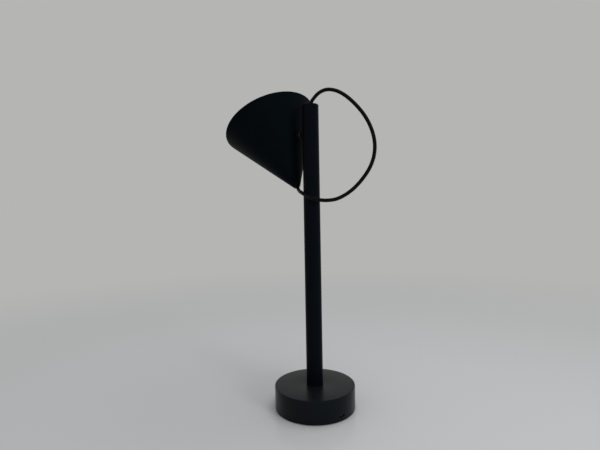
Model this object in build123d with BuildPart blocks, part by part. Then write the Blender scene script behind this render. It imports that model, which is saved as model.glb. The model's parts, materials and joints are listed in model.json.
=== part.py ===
from build123d import *
import os
from math import asin, cos, degrees, pi, radians, sin, tan

# A tabletop lamp: a round weighted base, a straight post and a cone shade that swivels on a short
# horizontal pivot at the side of the post. A free loop of round cable runs from the open top of the
# post to the tip of the cone. +Z is up, the origin is under the middle of the base, the shade hangs
# at -Y. The base is drawn with its charging slot at +Y and then turned a little. Millimetres.

os.makedirs("parts", exist_ok=True)

# ---------------------------------------------------------------- driving dimensions

# base
base_dia = 122.0
base_height = 35.0  # floor to the top face
shell_lift = 1.0  # shadow gap between the shell's lower edge and the floor
shell_wall = 3.0
shell_top = 4.0
shell_edge_radius = 1.2
shell_foot_chamfer = 0.4
slot_turn = -8.0  # degrees that the base is turned about the post, which takes the slot off +Y
cover_thickness = 2.0
cover_clearance = 0.3
pad_thickness = 2.0
pad_inset = 5.0  # pad's edge inside the base's edge
pad_hole_radius = 4.0
cover_screw_inset = 10.5  # cover screws inside the base's edge
cover_screw_count = 3
cover_boss_radius = 4.2
cover_screw_radius = 1.5
cover_screw_length = 10.0
cover_screw_head = 2.9
ballast_thickness = 8.0
ballast_clearance = 0.5
ballast_hole_radius = 17.0
ballast_screw_circle = 30.0
ballast_screw_count = 3
ballast_screw_radius = 2.0
ballast_screw_grip = 3.0  # thread in the shell's top
ballast_screw_head = 3.8
screw_clearance = 0.2

# battery and electronics
cell_radius = 9.2
cell_length = 65.0
cell_button_radius = 2.75
cell_button_length = 1.0
cell_lift = 0.4  # cells above the cover
cell_clearance = 0.2
contact_width = 8.0
contact_thickness = 0.45
cradle_floor = 1.2
cradle_end_wall = 1.5
cradle_side_wall = 1.5
cradle_boss_gap = 0.6  # between the cradle and the cover screws' bosses
cradle_window_width = 12.0
cradle_hole_radius = 13.0
cradle_tongue_width = 42.0
cradle_tongue_length = 10.0
board_width = 44.0
board_thickness = 1.0
board_cradle_gap = 2.05  # between the troughs' ends and the board's inner edge
board_wall_gap = 0.8
board_screw_spread = 18.0
board_screw_inset = 4.5
board_screw_radius = 1.0
board_screw_head = 1.8
board_screw_head_height = 1.2
board_screw_grip = 1.2
board_pillar_radius = 2.6
chip_width = 5.0
chip_height = 0.9
chip_place = (-9.5, -4.2)  # from the middle of the board's rear edge
coil_width = 6.0
coil_corner_radius = 1.2
coil_height = 3.0
coil_place = (-11.5, 4.2)  # from the middle of the board's inner edge
capacitor_length = 3.2
capacitor_width = 1.6
capacitor_place = (9.0, -5.0)  # from the middle of the board's rear edge
socket_height = 8.2  # middle of the socket above the floor
socket_width = 8.94
socket_thickness = 3.26
socket_sheet = 0.3
socket_length = 7.3
socket_recess = 0.8  # socket's mouth inside the base's side
socket_clearance = 0.3
tongue_width = 6.7
tongue_thickness = 0.7
tongue_length = 4.6
tongue_recess = 0.8
terminal_width = 10.0
terminal_depth = 7.0
terminal_height = 5.6
terminal_screw_radius = 1.6
terminal_screw_depth = 1.8
touch_barrel_radius = 2.0
touch_barrel_length = 9.5
touch_plunger_radius = 1.2
touch_place = (12.0, -9.2)  # from the middle of the board's rear edge

# post
post_dia = 25.0
post_wall = 1.5
post_above_pivot = 43.0  # pivot to the post's top
post_seat_depth = 1.0
post_seat_clearance = 0.1
post_edge_radius = 1.0
bore_fit = 0.03  # around what sits in the post's bore
foot_spigot_length = 28.0
foot_chamfer = 0.8
stud_radius = 7.0
stud_length = 13.0
stud_clearance = 0.2
thread_fit = 0.02
post_washer_radius = 14.0
post_washer_thickness = 2.0
post_nut_across_flats = 21.0
post_nut_thickness = 6.0
cable_hole_clearance = 0.4
cap_length = 5.3
cap_recess = 0.7
cap_hole_flare = 1.0

# swivel
pivot_height = 416.0
pivot_from_tip = 86.0  # along the cone's wall, from where its sides would meet
pivot_radius = 6.0
pivot_collar_length = 6.0
pivot_edge_chamfer = 0.4
friction_washer_thickness = 1.0
friction_washer_inset = 0.3
boss_length = 7.0
boss_spigot_radius = 4.6
boss_spigot_clearance = 0.1
bolt_radius = 3.0
bolt_running_fit = 0.05
bolt_hole_clearance = 0.1
bolt_head_radius = 6.0
bolt_head_height = 3.5
bolt_head_chamfer = 0.7
bolt_tip_chamfer = 0.5
bolt_key_width = 5.0
bolt_key_depth = 2.2
clamp_radius = 7.0
clamp_thickness = 3.3  # from the wall's inner face to the clamp's flat face
spring_radius = 5.6
spring_sheet = 0.5
spring_dish = 0.25
anchor_width = 14.0
anchor_height = 16.0
anchor_thickness = 5.4
stop_pin_radius = 0.75
stop_pin_circle = 4.4
stop_pin_seat = 4.0
stop_pin_reach = 1.7
stop_clearance = 0.1
swivel_low = -90.0  # degrees, tip swung towards -X
swivel_high = 179.0  # degrees, tip swung up past +X, with the groove's end at the half turn
stop_margin = 1.0  # degrees of groove past each limit

# shade
cone_half_angle = 30.0
cone_slant = 153.5
cone_wall = 1.2
rim_radius = 1.1  # of the rolled edge
tip_radius = 5.0
tip_bore_clearance = 0.25
tip_bore_flare = 0.3
tip_bush_end = 11.0  # where the sheet begins, along the axis
tip_thread_start = 10.0
tip_spigot_end = 18.0
tip_spigot_clearance = 0.1
nipple_radius = 3.97
nipple_end = 42.0
sink_start = 36.0
sink_plate_start = 50.0
sink_front = 54.0
sink_clearance = 0.1
sink_ring_wall = 2.5
sink_hub_radius = 7.5
sink_cavity_radius = 5.6
fin_count = 12
fin_thickness = 1.5
fin_recess = 1.5
fin_bite = 1.0  # how far the fins run into the hub, the ring and the plate
led_board_radius = 15.0
led_board_thickness = 1.6
emitter_radius = 7.0
emitter_thickness = 1.0
dome_radius = 24.0
dome_rise = 15.4
dome_wall = 1.6
dome_flange = 1.6
dome_flange_width = 0.8
ring_outer_radius = 29.3
ring_lip = 0.6  # how far the ring reaches over the dome's flange
ring_height = 3.4
ring_chamfer = 0.4
ring_screw_circle = 27.1
ring_screw_count = 3
ring_screw_radius = 1.0
ring_screw_clearance = 0.1
ring_screw_grip = 2.0
ring_screw_head = 1.6
ring_screw_head_height = 1.0
grip_radius = 5.2
grip_start = 43.0
grip_length = 5.0
grip_clearance = 0.05
grip_slot = 1.0
lead_radius = 0.6
lead_spread = 1.4

# cable
cable_dia = 5.4
cable_floor_gap = 0.1
cable_bend_radius = 12.0
cable_stripped = 1.0  # past the cord grip, before the leads part
cable_joint_depth = 5.5  # where the loop starts, under the post's top
cable_joint_in_tip = 10.0  # where the loop ends inside the tip, along the axis

# the loop's route, from the post's top, out behind it and back in front of it to the cone's tip
cable_route = [
    (0, 0, 453.5),
    (0, 0, 460.5),
    (-2.2, 5.2, 468.5),
    (-5.5, 14.5, 476.5),
    (-10, 28.5, 479),
    (-16.5, 47.5, 471),
    (-24, 68, 450.5),
    (-29.5, 84, 427),
    (-32, 93, 402),
    (-32, 94, 380),
    (-29, 88.5, 360),
    (-23, 78, 342.5),
    (-14.6, 65.5, 327),
    (-3.4, 50.5, 316),
    (4.4, 38, 313.6),
    (11.6, 27.2, 314.9),
    (17.8, 17.2, 317.5),
    (21.6, 7.6, 320.9),
    (21.8, -2.6, 324.2),
    (17.6, -12.6, 326.4),
    (9.6, -19.8, 328),
    (0, -28, 332.6),
    (0, -31.5, 338.66),
]
route_post_top = (0, 0, 459)  # the post's top and the cone's tip that the route is given for
route_cone_tip = (0, -26.5, 330)

# ---------------------------------------------------------------- sizes that follow

base_radius = base_dia / 2
cavity_radius = base_radius - shell_wall
cavity_top = base_height - shell_top
cover_bottom = pad_thickness
cover_screw_circle = base_radius - cover_screw_inset
cover_top = cover_bottom + cover_thickness
ballast_bottom = cavity_top - ballast_thickness
post_radius = post_dia / 2
post_bore_radius = post_radius - post_wall
post_bottom = base_height - post_seat_depth
post_top_height = pivot_height + post_above_pivot
cable_radius = cable_dia / 2
cable_hole_radius = cable_radius + cable_hole_clearance
cable_joint_height = post_top_height - cable_joint_depth
tip_bore_radius = cable_radius + tip_bore_clearance

cell_height = cover_top + cell_lift + cell_radius
cradle_room = cell_length + 2 * contact_thickness  # between the cradle's end walls
cradle_length = cradle_room + 2 * cradle_end_wall
trough_width = 2 * (cell_radius + cell_clearance + cradle_side_wall)
boss_side = cover_screw_circle * cos(radians(30)) - cover_boss_radius  # nearest to the cells
cell_spread = boss_side - cradle_boss_gap - trough_width / 2  # middle of the base to a cell's axis
cradle_floor_top = cover_top + cradle_floor
board_top = socket_height - socket_thickness / 2
board_bottom = board_top - board_thickness
board_front = cradle_length / 2 + board_cradle_gap
board_rear = cavity_radius - board_wall_gap
board_screw_y = board_front + board_screw_inset
socket_mouth = base_radius - socket_recess
socket_back = socket_mouth - socket_length
cable_low_height = cradle_floor_top + cable_floor_gap + cable_radius

# distances outwards along the pivot, from the post's axis
collar_end = post_radius + pivot_collar_length
washer_end = collar_end + friction_washer_thickness
wall_distance = washer_end + boss_length
clamp_face = wall_distance + cone_wall + clamp_thickness
spring_end = clamp_face + 2 * (spring_sheet + spring_dish)
bolt_end = spring_end + bolt_head_height
anchor_outer = post_bore_radius - bore_fit
anchor_inner = anchor_outer - anchor_thickness

# the cone: its near wall is parallel to the post, so its axis leans by its half angle
half = radians(cone_half_angle)
cone_tip = Vector(0, -wall_distance, pivot_height - pivot_from_tip)
cone_direction = Vector(0, -sin(half), cos(half))
cone_depth = cone_slant * cos(half)
inner_tip = cone_wall / sin(half)  # where the inner faces would meet, along the axis
tip_end = tip_radius / tan(half)
dome_base = sink_front + dome_flange
dome_sphere = (dome_radius**2 + dome_rise**2) / (2 * dome_rise)
dome_middle = dome_base + dome_rise - dome_sphere
ring_top = sink_front + ring_height
cable_end_in_shade = grip_start + grip_length + cable_stripped

shade_axis = Axis(cone_tip, cone_direction)
cone_section = Plane(origin=cone_tip, x_dir=(1, 0, 0), z_dir=(0, -cos(half), -sin(half)))
pivot_axis = Axis((0, 0, pivot_height), (0, -1, 0))
pivot_section = Plane(origin=(0, 0, pivot_height), x_dir=(0, -1, 0), z_dir=(-1, 0, 0))


def outer_radius(along):
    """Radius of the cone's outer face at a distance along its axis."""
    return along * tan(half)


def inner_radius(along):
    """Radius of the cone's inner face at a distance along its axis."""
    return (along - inner_tip) * tan(half)


def seat_radius(along):
    """Radius of the heat sink's face that wedges into the cone."""
    return inner_radius(along) - sink_clearance


def pivot_plane(distance):
    """Plane across the pivot, facing away from the post."""
    return Plane(origin=(0, -distance, pivot_height), x_dir=(1, 0, 0), z_dir=(0, -1, 0))


def cone_plane(along):
    """Plane across the cone's axis, facing its mouth."""
    return Plane(origin=cone_tip + cone_direction * along, x_dir=(1, 0, 0), z_dir=cone_direction)


def rear_plane(distance):
    """Upright plane at the charging socket's height, facing out of the base."""
    return Plane(origin=(0, distance, socket_height), x_dir=(-1, 0, 0), z_dir=(0, 1, 0))


def underside(height):
    """Plane that faces down, for what is fitted from below."""
    return Plane(origin=(0, 0, height), x_dir=(1, 0, 0), z_dir=(0, 0, -1))


def cover_screw_places():
    """Places of the cover screws on a plane that faces down."""
    return PolarLocations(cover_screw_circle, cover_screw_count, start_angle=90)


def ballast_screw_places():
    """Places of the ballast screws on a plane that faces down."""
    return PolarLocations(ballast_screw_circle, ballast_screw_count, start_angle=-90)


def ring_screw_places():
    """Places of the dome ring's screws on a plane across the cone's axis."""
    return PolarLocations(ring_screw_circle, ring_screw_count, start_angle=90)


def on_board(place, edge):
    """Place of a component given from the middle of one of the board's edges."""
    return (place[0], edge + place[1])


def flat_head_screw(radius, length, head_radius):
    """Countersunk screw with a hexagon socket, its flat top at the origin and its tip at -Z."""
    head_height = head_radius - radius
    with BuildPart() as screw:
        with BuildSketch(Plane.XZ):
            with BuildLine():
                Polyline(
                    (0, 0),
                    (head_radius, 0),
                    (radius, -head_height),
                    (radius, -length),
                    (0, -length),
                    close=True,
                )
            make_face()
        revolve(axis=Axis.Z)
        with BuildSketch():
            RegularPolygon(radius=0.75 * radius, side_count=6)
        extrude(amount=-0.8 * head_height, mode=Mode.SUBTRACT)
    return screw.part


def button_screw(radius, length, head_radius, head_height):
    """Button-head screw with a hexagon socket, its seat at the origin and its tip at -Z."""
    crown = (head_radius**2 + head_height**2) / (2 * head_height)
    with BuildPart() as screw:
        with BuildSketch(Plane.XZ):
            with BuildLine():
                top = CenterArc((0, head_height - crown), crown, 90, -degrees(asin(head_radius / crown)))
                Polyline(top @ 1, (radius, 0), (radius, -length), (0, -length), top @ 0)
            make_face()
        revolve(axis=Axis.Z)
        with BuildSketch(Plane.XY.offset(head_height)):
            RegularPolygon(radius=0.75 * radius, side_count=6)
        extrude(amount=-0.7 * head_height, mode=Mode.SUBTRACT)
    return screw.part


def finish(node, name, turn=0):
    """Turn a finished piece about the post's axis, label it and write it to its file."""
    piece = node.part.rotate(Axis.Z, turn) if turn else node.part
    piece.label = name
    export_step(piece, f"parts/{name}.step")


# ---------------------------------------------------------------- base

with BuildPart() as base_shell:
    with BuildSketch(Plane.XZ):
        with BuildLine():
            Polyline(
                (stud_radius + stud_clearance, cavity_top),
                (cavity_radius, cavity_top),
                (cavity_radius, shell_lift),
                (base_radius, shell_lift),
                (base_radius, base_height),
                (post_radius + post_seat_clearance, base_height),
                (post_radius + post_seat_clearance, post_bottom),
                (stud_radius + stud_clearance, post_bottom),
                close=True,
            )
        make_face()
    revolve(axis=Axis.Z)
    outer_edges = base_shell.edges().filter_by(
        lambda edge: edge.geom_type == GeomType.CIRCLE and abs(edge.radius - base_radius) < 0.01
    )
    fillet(outer_edges.sort_by(Axis.Z)[-1], radius=shell_edge_radius)
    chamfer(outer_edges.sort_by(Axis.Z)[0], length=shell_foot_chamfer)
    # bosses for the cover screws, from the cover up into the shell's top
    with BuildSketch(underside(cover_top)):
        with cover_screw_places():
            Circle(cover_boss_radius)
    extrude(amount=-(cavity_top + shell_top / 4 - cover_top))
    with Locations(underside(cover_top)):
        with cover_screw_places():
            Hole(cover_screw_radius, depth=cover_screw_length)
    with Locations(underside(cavity_top)):
        with ballast_screw_places():
            Hole(ballast_screw_radius, depth=ballast_screw_grip)
    # slot for the charging socket
    with BuildSketch(rear_plane(cavity_radius - shell_wall / 2)):
        SlotOverall(socket_width + 2 * socket_clearance, socket_thickness + 2 * socket_clearance)
    extrude(amount=2 * shell_wall, mode=Mode.SUBTRACT)
finish(base_shell, "base_shell", slot_turn)

with BuildPart() as ballast:
    with BuildSketch(underside(ballast_bottom)):
        Circle(cavity_radius - ballast_clearance)
        Circle(ballast_hole_radius, mode=Mode.SUBTRACT)
        with cover_screw_places():
            Circle(cover_boss_radius + ballast_clearance, mode=Mode.SUBTRACT)
    extrude(amount=-ballast_thickness)
    with Locations(underside(ballast_bottom)):
        with ballast_screw_places():
            CounterSinkHole(
                ballast_screw_radius + screw_clearance,
                ballast_screw_head + screw_clearance,
                counter_sink_angle=90,
            )
finish(ballast, "ballast", slot_turn)

with BuildPart() as ballast_screws:
    with Locations(underside(ballast_bottom)):
        with ballast_screw_places():
            add(
                flat_head_screw(
                    ballast_screw_radius, ballast_thickness + ballast_screw_grip, ballast_screw_head
                )
            )
finish(ballast_screws, "ballast_screws", slot_turn)

with BuildPart() as base_cover:
    with BuildSketch(underside(cover_bottom)):
        Circle(cavity_radius - cover_clearance)
    extrude(amount=-cover_thickness)
    with Locations(underside(cover_bottom)):
        with cover_screw_places():
            CounterSinkHole(
                cover_screw_radius + screw_clearance,
                cover_screw_head + screw_clearance,
                counter_sink_angle=90,
            )
finish(base_cover, "base_cover", slot_turn)

with BuildPart() as cover_screws:
    with Locations(underside(cover_bottom)):
        with cover_screw_places():
            add(flat_head_screw(cover_screw_radius, cover_screw_length, cover_screw_head))
finish(cover_screws, "cover_screws", slot_turn)

with BuildPart() as foot_pad:
    with BuildSketch(underside(0)):
        Circle(base_radius - pad_inset)
        with cover_screw_places():
            Circle(pad_hole_radius, mode=Mode.SUBTRACT)
    extrude(amount=-pad_thickness)
finish(foot_pad, "foot_pad", slot_turn)

# ---------------------------------------------------------------- battery and electronics

# the two cells lie side by side, head to tail
for side, name in ((-1, "battery_cell_left"), (1, "battery_cell_right")):
    can_end = Plane(origin=(side * cell_spread, side * cell_length / 2, cell_height), z_dir=(0, -side, 0))
    with BuildPart() as battery_cell:
        with BuildSketch(can_end):
            Circle(cell_radius)
        extrude(amount=cell_length - cell_button_length)
        with BuildSketch(can_end):
            Circle(cell_button_radius)
        extrude(amount=cell_length)
    finish(battery_cell, name, slot_turn)

with BuildPart() as battery_cradle:
    with BuildSketch(Plane.XY.offset(cover_top)):
        Rectangle(2 * cell_spread, cradle_length)
        with Locations((0, cradle_length / 2)):
            Rectangle(cradle_tongue_width, 2 * cradle_tongue_length)
        Circle(cradle_hole_radius, mode=Mode.SUBTRACT)
    extrude(amount=cradle_floor)
    # two troughs, each open at the top and through a window in its floor
    with BuildSketch(Plane.XY.offset(cover_top)):
        with GridLocations(2 * cell_spread, 0, 2, 1):
            Rectangle(trough_width, cradle_length)
    extrude(amount=cell_height - cover_top)
    with BuildSketch(Plane.XZ.offset(-cradle_room / 2)):
        with Locations((-cell_spread, cell_height), (cell_spread, cell_height)):
            Circle(cell_radius + cell_clearance)
    extrude(amount=cradle_room, mode=Mode.SUBTRACT)
    with BuildSketch(Plane.XY.offset(cover_top)):
        with GridLocations(2 * cell_spread, 0, 2, 1):
            Rectangle(cradle_window_width, cradle_room)
    extrude(amount=cell_radius, mode=Mode.SUBTRACT)
    # pillars for the controller board
    with BuildSketch(Plane.XY.offset(cover_top)):
        with Locations((0, board_screw_y)):
            with GridLocations(2 * board_screw_spread, 0, 2, 1):
                Circle(board_pillar_radius)
    extrude(amount=board_bottom - cover_top)
    with Locations((0, board_screw_y, board_bottom)):
        with GridLocations(2 * board_screw_spread, 0, 2, 1):
            Hole(board_screw_radius, depth=board_screw_grip)
finish(battery_cradle, "battery_cradle", slot_turn)

with BuildPart() as cell_contacts:
    with Locations((0, 0, cell_height)):
        with GridLocations(2 * cell_spread, cell_length + contact_thickness, 2, 2):
            Box(contact_width, contact_thickness, contact_width)
finish(cell_contacts, "cell_contacts", slot_turn)

with BuildPart() as controller_board:
    with BuildSketch(Plane.XY.offset(board_bottom)):
        with Locations((0, (board_front + board_rear) / 2)):
            Rectangle(board_width, board_rear - board_front)
        Circle(board_rear, mode=Mode.INTERSECT)
        with Locations((0, board_screw_y)):
            with GridLocations(2 * board_screw_spread, 0, 2, 1):
                Circle(board_screw_radius + screw_clearance, mode=Mode.SUBTRACT)
    extrude(amount=board_thickness)
    # charger chip, coil and capacitor
    with BuildSketch(Plane.XY.offset(board_top)):
        with Locations(on_board(chip_place, board_rear)):
            Rectangle(chip_width, chip_width)
    extrude(amount=chip_height)
    with BuildSketch(Plane.XY.offset(board_top)):
        with Locations(on_board(coil_place, board_front)):
            RectangleRounded(coil_width, coil_width, coil_corner_radius)
    extrude(amount=coil_height)
    with BuildSketch(Plane.XY.offset(board_top)):
        with Locations(on_board(capacitor_place, board_rear)):
            Rectangle(capacitor_length, capacitor_width)
    extrude(amount=capacitor_width)
finish(controller_board, "controller_board", slot_turn)

with BuildPart() as board_screws:
    with Locations((0, board_screw_y, board_top)):
        with GridLocations(2 * board_screw_spread, 0, 2, 1):
            add(
                button_screw(
                    board_screw_radius,
                    board_thickness + board_screw_grip,
                    board_screw_head,
                    board_screw_head_height,
                )
            )
finish(board_screws, "board_screws", slot_turn)

with BuildPart() as charging_socket:
    with BuildSketch(rear_plane(socket_back)):
        SlotOverall(socket_width, socket_thickness)
    extrude(amount=socket_length)
    with BuildSketch(rear_plane(socket_back + socket_sheet)):
        SlotOverall(socket_width - 2 * socket_sheet, socket_thickness - 2 * socket_sheet)
    extrude(amount=socket_length, mode=Mode.SUBTRACT)
finish(charging_socket, "charging_socket", slot_turn)

with BuildPart() as socket_tongue:
    tongue_start = socket_mouth - tongue_recess - tongue_length
    with BuildSketch(rear_plane(socket_back + socket_sheet)):
        SlotOverall(socket_width - 2 * socket_sheet, socket_thickness - 2 * socket_sheet)
    extrude(amount=tongue_start - socket_back - socket_sheet)
    with BuildSketch(rear_plane(tongue_start)):
        Rectangle(tongue_width, tongue_thickness)
    extrude(amount=tongue_length)
finish(socket_tongue, "socket_tongue", slot_turn)

with BuildPart() as cable_terminal:
    terminal_y = board_front + terminal_depth / 2
    with BuildSketch(Plane.XY.offset(board_top)):
        with Locations((0, terminal_y)):
            Rectangle(terminal_width, terminal_depth)
    extrude(amount=terminal_height)
    with Locations((0, terminal_y, board_top + terminal_height)):
        with GridLocations(terminal_width / 2, 0, 2, 1):
            Hole(terminal_screw_radius, depth=terminal_screw_depth)
finish(cable_terminal, "cable_terminal", slot_turn)

with BuildPart() as touch_contact:
    with BuildSketch(Plane.XY.offset(board_top)):
        with Locations(on_board(touch_place, board_rear)):
            Circle(touch_barrel_radius)
    extrude(amount=touch_barrel_length)
    with BuildSketch(Plane.XY.offset(board_top)):
        with Locations(on_board(touch_place, board_rear)):
            Circle(touch_plunger_radius)
    extrude(amount=ballast_bottom - board_top)
finish(touch_contact, "touch_contact", slot_turn)

# ---------------------------------------------------------------- post

with BuildPart() as post_tube:
    with BuildSketch(Plane.XY.offset(post_bottom)):
        Circle(post_radius)
        Circle(post_bore_radius, mode=Mode.SUBTRACT)
    extrude(amount=post_top_height - post_bottom)
    top_edges = post_tube.faces().sort_by(Axis.Z)[-1].edges().sort_by(SortBy.RADIUS)
    fillet(top_edges[-1], radius=post_edge_radius)
    with BuildSketch(pivot_plane(0)):
        Circle(bolt_radius + bolt_hole_clearance)
    extrude(amount=post_dia, mode=Mode.SUBTRACT)
finish(post_tube, "post_tube")

with BuildPart() as post_foot:
    foot_top = post_bottom + foot_spigot_length
    foot_radius = post_bore_radius - bore_fit
    stud_bottom = post_bottom - stud_length
    with BuildSketch(Plane.XZ):
        with BuildLine():
            Polyline(
                (cable_hole_radius, stud_bottom),
                (stud_radius - foot_chamfer, stud_bottom),
                (stud_radius, stud_bottom + foot_chamfer),
                (stud_radius, post_bottom),
                (foot_radius, post_bottom),
                (foot_radius, foot_top - foot_chamfer),
                (foot_radius - foot_chamfer, foot_top),
                (cable_hole_radius, foot_top),
                close=True,
            )
        make_face()
    revolve(axis=Axis.Z)
finish(post_foot, "post_foot")

with BuildPart() as post_washer:
    with BuildSketch(underside(cavity_top)):
        Circle(post_washer_radius)
        Circle(stud_radius + stud_clearance, mode=Mode.SUBTRACT)
    extrude(amount=post_washer_thickness)
finish(post_washer, "post_washer")

with BuildPart() as post_nut:
    with BuildSketch(underside(cavity_top - post_washer_thickness)):
        RegularPolygon(radius=post_nut_across_flats / 2, side_count=6, major_radius=False)
        Circle(stud_radius + thread_fit, mode=Mode.SUBTRACT)
    extrude(amount=post_nut_thickness)
finish(post_nut, "post_nut")

with BuildPart() as post_cap:
    with BuildSketch(Plane.XY.offset(post_top_height - cap_recess)):
        Circle(post_bore_radius - bore_fit)
        Circle(cable_hole_radius, mode=Mode.SUBTRACT)
    extrude(amount=-cap_length)
    mouth_edges = post_cap.faces().sort_by(Axis.Z)[-1].edges().sort_by(SortBy.RADIUS)
    fillet(mouth_edges[0], radius=cap_hole_flare)
finish(post_cap, "post_cap")

# ---------------------------------------------------------------- swivel

with BuildPart() as pivot_anchor:
    with BuildSketch(Plane.XY.offset(pivot_height - anchor_height / 2)):
        Circle(anchor_outer)
        with Locations((0, -(anchor_inner + anchor_outer) / 2)):
            Rectangle(anchor_width, anchor_thickness, mode=Mode.INTERSECT)
    extrude(amount=anchor_height)
    with BuildSketch(pivot_plane(0)):
        Circle(bolt_radius + thread_fit)
    extrude(amount=post_radius, mode=Mode.SUBTRACT)
finish(pivot_anchor, "pivot_anchor")

with BuildPart() as pivot_collar:
    with BuildSketch(pivot_plane(0)):
        Circle(pivot_radius)
    extrude(amount=collar_end)
    chamfer(pivot_collar.faces().sort_by(Axis.Y)[0].edges(), length=pivot_edge_chamfer)
    # one end fits the post's round side
    with BuildSketch(Plane.XY.offset(pivot_height - post_radius)):
        Circle(post_radius)
    extrude(amount=post_dia, mode=Mode.SUBTRACT)
    with Locations(pivot_plane(collar_end)):
        Hole(bolt_radius + bolt_hole_clearance)
        with Locations((0, stop_pin_circle)):
            Hole(stop_pin_radius, depth=stop_pin_seat)
finish(pivot_collar, "pivot_collar")

with BuildPart() as stop_pin:
    with BuildSketch(pivot_plane(collar_end - stop_pin_seat)):
        with Locations((0, stop_pin_circle)):
            Circle(stop_pin_radius)
    extrude(amount=stop_pin_seat + friction_washer_thickness + stop_pin_reach)
finish(stop_pin, "stop_pin")

with BuildPart() as friction_washer:
    with BuildSketch(pivot_plane(collar_end)):
        Circle(pivot_radius - friction_washer_inset)
        Circle(bolt_radius + bolt_hole_clearance, mode=Mode.SUBTRACT)
        with Locations((0, stop_pin_circle)):
            Circle(stop_pin_radius + stop_clearance, mode=Mode.SUBTRACT)
    extrude(amount=friction_washer_thickness)
finish(friction_washer, "friction_washer")

# the stop pin's way round the shade boss
stop_way = CenterArc(
    (0, 0),
    stop_pin_circle,
    90 - swivel_high - stop_margin,
    swivel_high - swivel_low + 2 * stop_margin,
)

with BuildPart() as shade_boss:
    with BuildSketch(pivot_plane(washer_end)):
        Circle(pivot_radius)
    extrude(amount=boss_length + cone_wall)
    chamfer(shade_boss.faces().sort_by(Axis.Y)[-1].edges(), length=pivot_edge_chamfer)
    # its far end fits the cone's outer face
    with BuildSketch(cone_section):
        with BuildLine():
            Polyline((0, 0), (outer_radius(cone_depth), cone_depth), (0, cone_depth), close=True)
        make_face()
    revolve(axis=shade_axis, mode=Mode.SUBTRACT)
    # and a spigot reaches into the cone's wall
    with BuildSketch(pivot_plane(washer_end + boss_length / 2)):
        Circle(boss_spigot_radius)
    extrude(amount=boss_length / 2 + cone_wall - boss_spigot_clearance)
    with Locations(pivot_plane(wall_distance + cone_wall)):
        Hole(bolt_radius + bolt_running_fit)
    with BuildSketch(pivot_plane(washer_end)):
        SlotArc(stop_way, 2 * (stop_pin_radius + stop_clearance))
    extrude(amount=stop_pin_reach + stop_clearance, mode=Mode.SUBTRACT)
finish(shade_boss, "shade_boss")

with BuildPart() as shade_clamp:
    with BuildSketch(pivot_plane(wall_distance)):
        Circle(clamp_radius)
    extrude(amount=clamp_face - wall_distance)
    # its back fits the cone's inner face
    with BuildSketch(cone_section):
        with BuildLine():
            Polyline((0, inner_tip), (inner_radius(cone_depth), cone_depth), (0, cone_depth), close=True)
        make_face()
    revolve(axis=shade_axis, mode=Mode.INTERSECT)
    with Locations(pivot_plane(clamp_face)):
        Hole(bolt_radius + bolt_running_fit)
finish(shade_clamp, "shade_clamp")

with BuildPart() as disc_springs:
    spring_bore = bolt_radius + bolt_hole_clearance
    spring_middle = (clamp_face + spring_end) / 2
    # two dished washers, back to back at their bores
    with BuildSketch(pivot_section):
        with BuildLine():
            Polyline(
                (clamp_face, spring_radius),
                (clamp_face + spring_sheet, spring_radius),
                (spring_middle, spring_bore),
                (spring_middle - spring_sheet, spring_bore),
                close=True,
            )
        make_face()
    revolve(axis=pivot_axis)
    mirror(about=pivot_plane(spring_middle))
finish(disc_springs, "disc_springs")

with BuildPart() as pivot_bolt:
    bolt_tip = anchor_inner - bolt_tip_chamfer
    with BuildSketch(pivot_section):
        with BuildLine():
            Polyline(
                (bolt_tip, 0),
                (bolt_tip, bolt_radius - bolt_tip_chamfer),
                (bolt_tip + bolt_tip_chamfer, bolt_radius),
                (spring_end, bolt_radius),
                (spring_end, bolt_head_radius),
                (bolt_end - bolt_head_chamfer, bolt_head_radius),
                (bolt_end, bolt_head_radius - bolt_head_chamfer),
                (bolt_end, 0),
                close=True,
            )
        make_face()
    revolve(axis=pivot_axis)
    with BuildSketch(pivot_plane(bolt_end)):
        RegularPolygon(radius=bolt_key_width / 2, side_count=6, major_radius=False)
    extrude(amount=-bolt_key_depth, mode=Mode.SUBTRACT)
finish(pivot_bolt, "pivot_bolt")

# ---------------------------------------------------------------- shade

with BuildPart() as shade_cone:
    # directions in the cone's section: along the wall, and out of its outer face
    wall_along = Vector(sin(half), cos(half))
    wall_out = Vector(cos(half), -sin(half))
    rim_start = wall_along * (cone_slant - rim_radius)
    rim_inner = rim_start - wall_out * cone_wall
    rim_middle = rim_start - wall_out * rim_radius
    with BuildSketch(cone_section):
        with BuildLine():
            Polyline(
                (inner_radius(tip_bush_end), tip_bush_end),
                (outer_radius(tip_bush_end), tip_bush_end),
                (rim_start.X, rim_start.Y),
                (rim_inner.X, rim_inner.Y),
                close=True,
            )
        make_face()
        # the edge is rolled inwards
        with Locations((rim_middle.X, rim_middle.Y)):
            Circle(rim_radius)
    revolve(axis=shade_axis)
    with BuildSketch(pivot_plane(wall_distance - cone_wall)):
        Circle(boss_spigot_radius + boss_spigot_clearance)
    extrude(amount=4 * cone_wall, mode=Mode.SUBTRACT)
finish(shade_cone, "shade_cone")

with BuildPart() as tip_bush:
    spigot_radius = inner_radius(tip_bush_end) - tip_spigot_clearance
    thread_radius = nipple_radius + thread_fit
    with BuildSketch(cone_section):
        with BuildLine():
            Polyline(
                (tip_bore_radius + tip_bore_flare, tip_end),
                (tip_radius, tip_end),
                (outer_radius(tip_bush_end), tip_bush_end),
                (spigot_radius, tip_bush_end),
                (spigot_radius, tip_spigot_end),
                (thread_radius, tip_spigot_end),
                (thread_radius, tip_thread_start),
                (tip_bore_radius, tip_thread_start),
                (tip_bore_radius, tip_end + tip_bore_flare),
                close=True,
            )
        make_face()
    revolve(axis=shade_axis)
finish(tip_bush, "tip_bush")

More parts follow.
